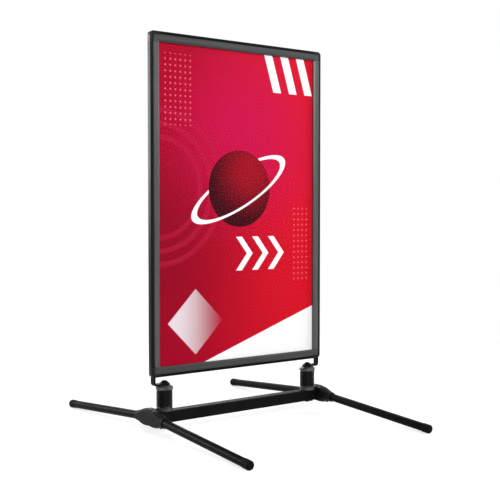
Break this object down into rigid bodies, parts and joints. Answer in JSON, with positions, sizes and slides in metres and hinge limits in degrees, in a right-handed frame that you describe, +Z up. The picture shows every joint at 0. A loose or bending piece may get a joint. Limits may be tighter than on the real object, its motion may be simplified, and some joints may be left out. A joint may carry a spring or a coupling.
{
  "type": "sidewalk sign",
  "caption": "Double-sided poster frame with hinged snap rails on coil springs over a bar base with splayed round legs; the sign tips in wind and springs back.",
  "frame": {"origin": "on the floor under the middle of the sign", "axes": "+Z up, +X along the sign's width to the right as its front is read, the front faces -Y"},
  "size_m": [0.7868, 1.126, 1.3412],
  "materials": {
    "frame_aluminium": "satin black coating",
    "rail_aluminium": "satin dark grey coating",
    "cap_plastic": "moulded satin",
    "plated_steel": "zinc plated",
    "black_screw": "black oxide",
    "panel_plastic": "plain sheet",
    "poster_paper": "printed sheet",
    "clear_cover": "clear sheet",
    "black_steel": "black powder coat",
    "collar_steel": "worn black",
    "spring_steel": "black powder coat",
    "cast_hub": "black coated casting",
    "tip_rubber": "moulded"
  },
  "bodies": {
    "base": {"left_bottom_collar": "collar_steel", "right_bottom_collar": "collar_steel", "base_bolts": "black_screw", "base_bar": "black_steel", "left_hub": "cast_hub", "right_hub": "cast_hub", "hub_screws": "black_screw", "leg_set_screws": "black_screw"},
    "sign": {"left_stile": "frame_aluminium", "right_stile": "frame_aluminium", "top_channel": "frame_aluminium", "bottom_channel": "frame_aluminium", "top_left_cap": "cap_plastic", "top_right_cap": "cap_plastic", "bottom_left_cap": "cap_plastic", "bottom_right_cap": "cap_plastic", "corner_keys": "plated_steel", "corner_screws": "black_screw", "backing_panel": "panel_plastic", "front_poster": "poster_paper", "back_poster": "poster_paper", "front_cover": "clear_cover", "back_cover": "clear_cover", "front_rail_springs": "plated_steel", "back_rail_springs": "plated_steel", "left_bracket": "black_steel", "right_bracket": "black_steel", "top_bolts": "black_screw", "top_washers": "black_screw", "left_top_collar": "collar_steel", "right_top_collar": "collar_steel", "left_spring": "spring_steel", "right_spring": "spring_steel"},
    "front_left_rail": {"front_left_rail": "rail_aluminium"},
    "front_right_rail": {"front_right_rail": "rail_aluminium"},
    "front_top_rail": {"front_top_rail": "rail_aluminium"},
    "front_bottom_rail": {"front_bottom_rail": "rail_aluminium"},
    "back_left_rail": {"back_left_rail": "rail_aluminium"},
    "back_right_rail": {"back_right_rail": "rail_aluminium"},
    "back_top_rail": {"back_top_rail": "rail_aluminium"},
    "back_bottom_rail": {"back_bottom_rail": "rail_aluminium"},
    "front_left_leg": {"front_left_leg": "black_steel", "front_left_tip": "tip_rubber"},
    "front_right_leg": {"front_right_leg": "black_steel", "front_right_tip": "tip_rubber"},
    "back_left_leg": {"back_left_leg": "black_steel", "back_left_tip": "tip_rubber"},
    "back_right_leg": {"back_right_leg": "black_steel", "back_right_tip": "tip_rubber"}
  },
  "joints": [
    {"name": "spring_flex", "type": "hinge", "parent": "base", "child": "sign", "pos_m": [0, 0, 0.11479], "axis": [1, 0, 0], "range_deg": [-30, 30], "stiffness_Nm_per_rad": 400, "deforming": ["left_spring", "right_spring"]},
    {"name": "front_left_rail_hinge", "type": "hinge", "parent": "sign", "child": "front_left_rail", "pos_m": [-0.3615, -0.0102, 0.76519], "axis": [0, 0, -1], "range_deg": [0, 80]},
    {"name": "front_right_rail_hinge", "type": "hinge", "parent": "sign", "child": "front_right_rail", "pos_m": [0.3615, -0.0102, 0.76519], "axis": [0, 0, 1], "range_deg": [0, 80]},
    {"name": "front_top_rail_hinge", "type": "hinge", "parent": "sign", "child": "front_top_rail", "pos_m": [0, -0.0102, 1.33019], "axis": [-1, 0, 0], "range_deg": [0, 80]},
    {"name": "front_bottom_rail_hinge", "type": "hinge", "parent": "sign", "child": "front_bottom_rail", "pos_m": [0, -0.0102, 0.20019], "axis": [1, 0, 0], "range_deg": [0, 80]},
    {"name": "back_left_rail_hinge", "type": "hinge", "parent": "sign", "child": "back_left_rail", "pos_m": [-0.3615, 0.0102, 0.76519], "axis": [0, 0, 1], "range_deg": [0, 80]},
    {"name": "back_right_rail_hinge", "type": "hinge", "parent": "sign", "child": "back_right_rail", "pos_m": [0.3615, 0.0102, 0.76519], "axis": [0, 0, -1], "range_deg": [0, 80]},
    {"name": "back_top_rail_hinge", "type": "hinge", "parent": "sign", "child": "back_top_rail", "pos_m": [0, 0.0102, 1.33019], "axis": [1, 0, 0], "range_deg": [0, 80]},
    {"name": "back_bottom_rail_hinge", "type": "hinge", "parent": "sign", "child": "back_bottom_rail", "pos_m": [0, 0.0102, 0.20019], "axis": [-1, 0, 0], "range_deg": [0, 80]},
    {"name": "front_left_leg_slide", "type": "slide", "parent": "base", "child": "front_left_leg", "axis": [-0.0219, -0.9969, -0.0753], "range_m": [0, 0.06]},
    {"name": "front_right_leg_slide", "type": "slide", "parent": "base", "child": "front_right_leg", "axis": [0.0219, -0.9969, -0.0753], "range_m": [0, 0.06]},
    {"name": "back_left_leg_slide", "type": "slide", "parent": "base", "child": "back_left_leg", "axis": [-0.0219, 0.9969, -0.0753], "range_m": [0, 0.06]},
    {"name": "back_right_leg_slide", "type": "slide", "parent": "base", "child": "back_right_leg", "axis": [0.0219, 0.9969, -0.0753], "range_m": [0, 0.06]}
  ]
}
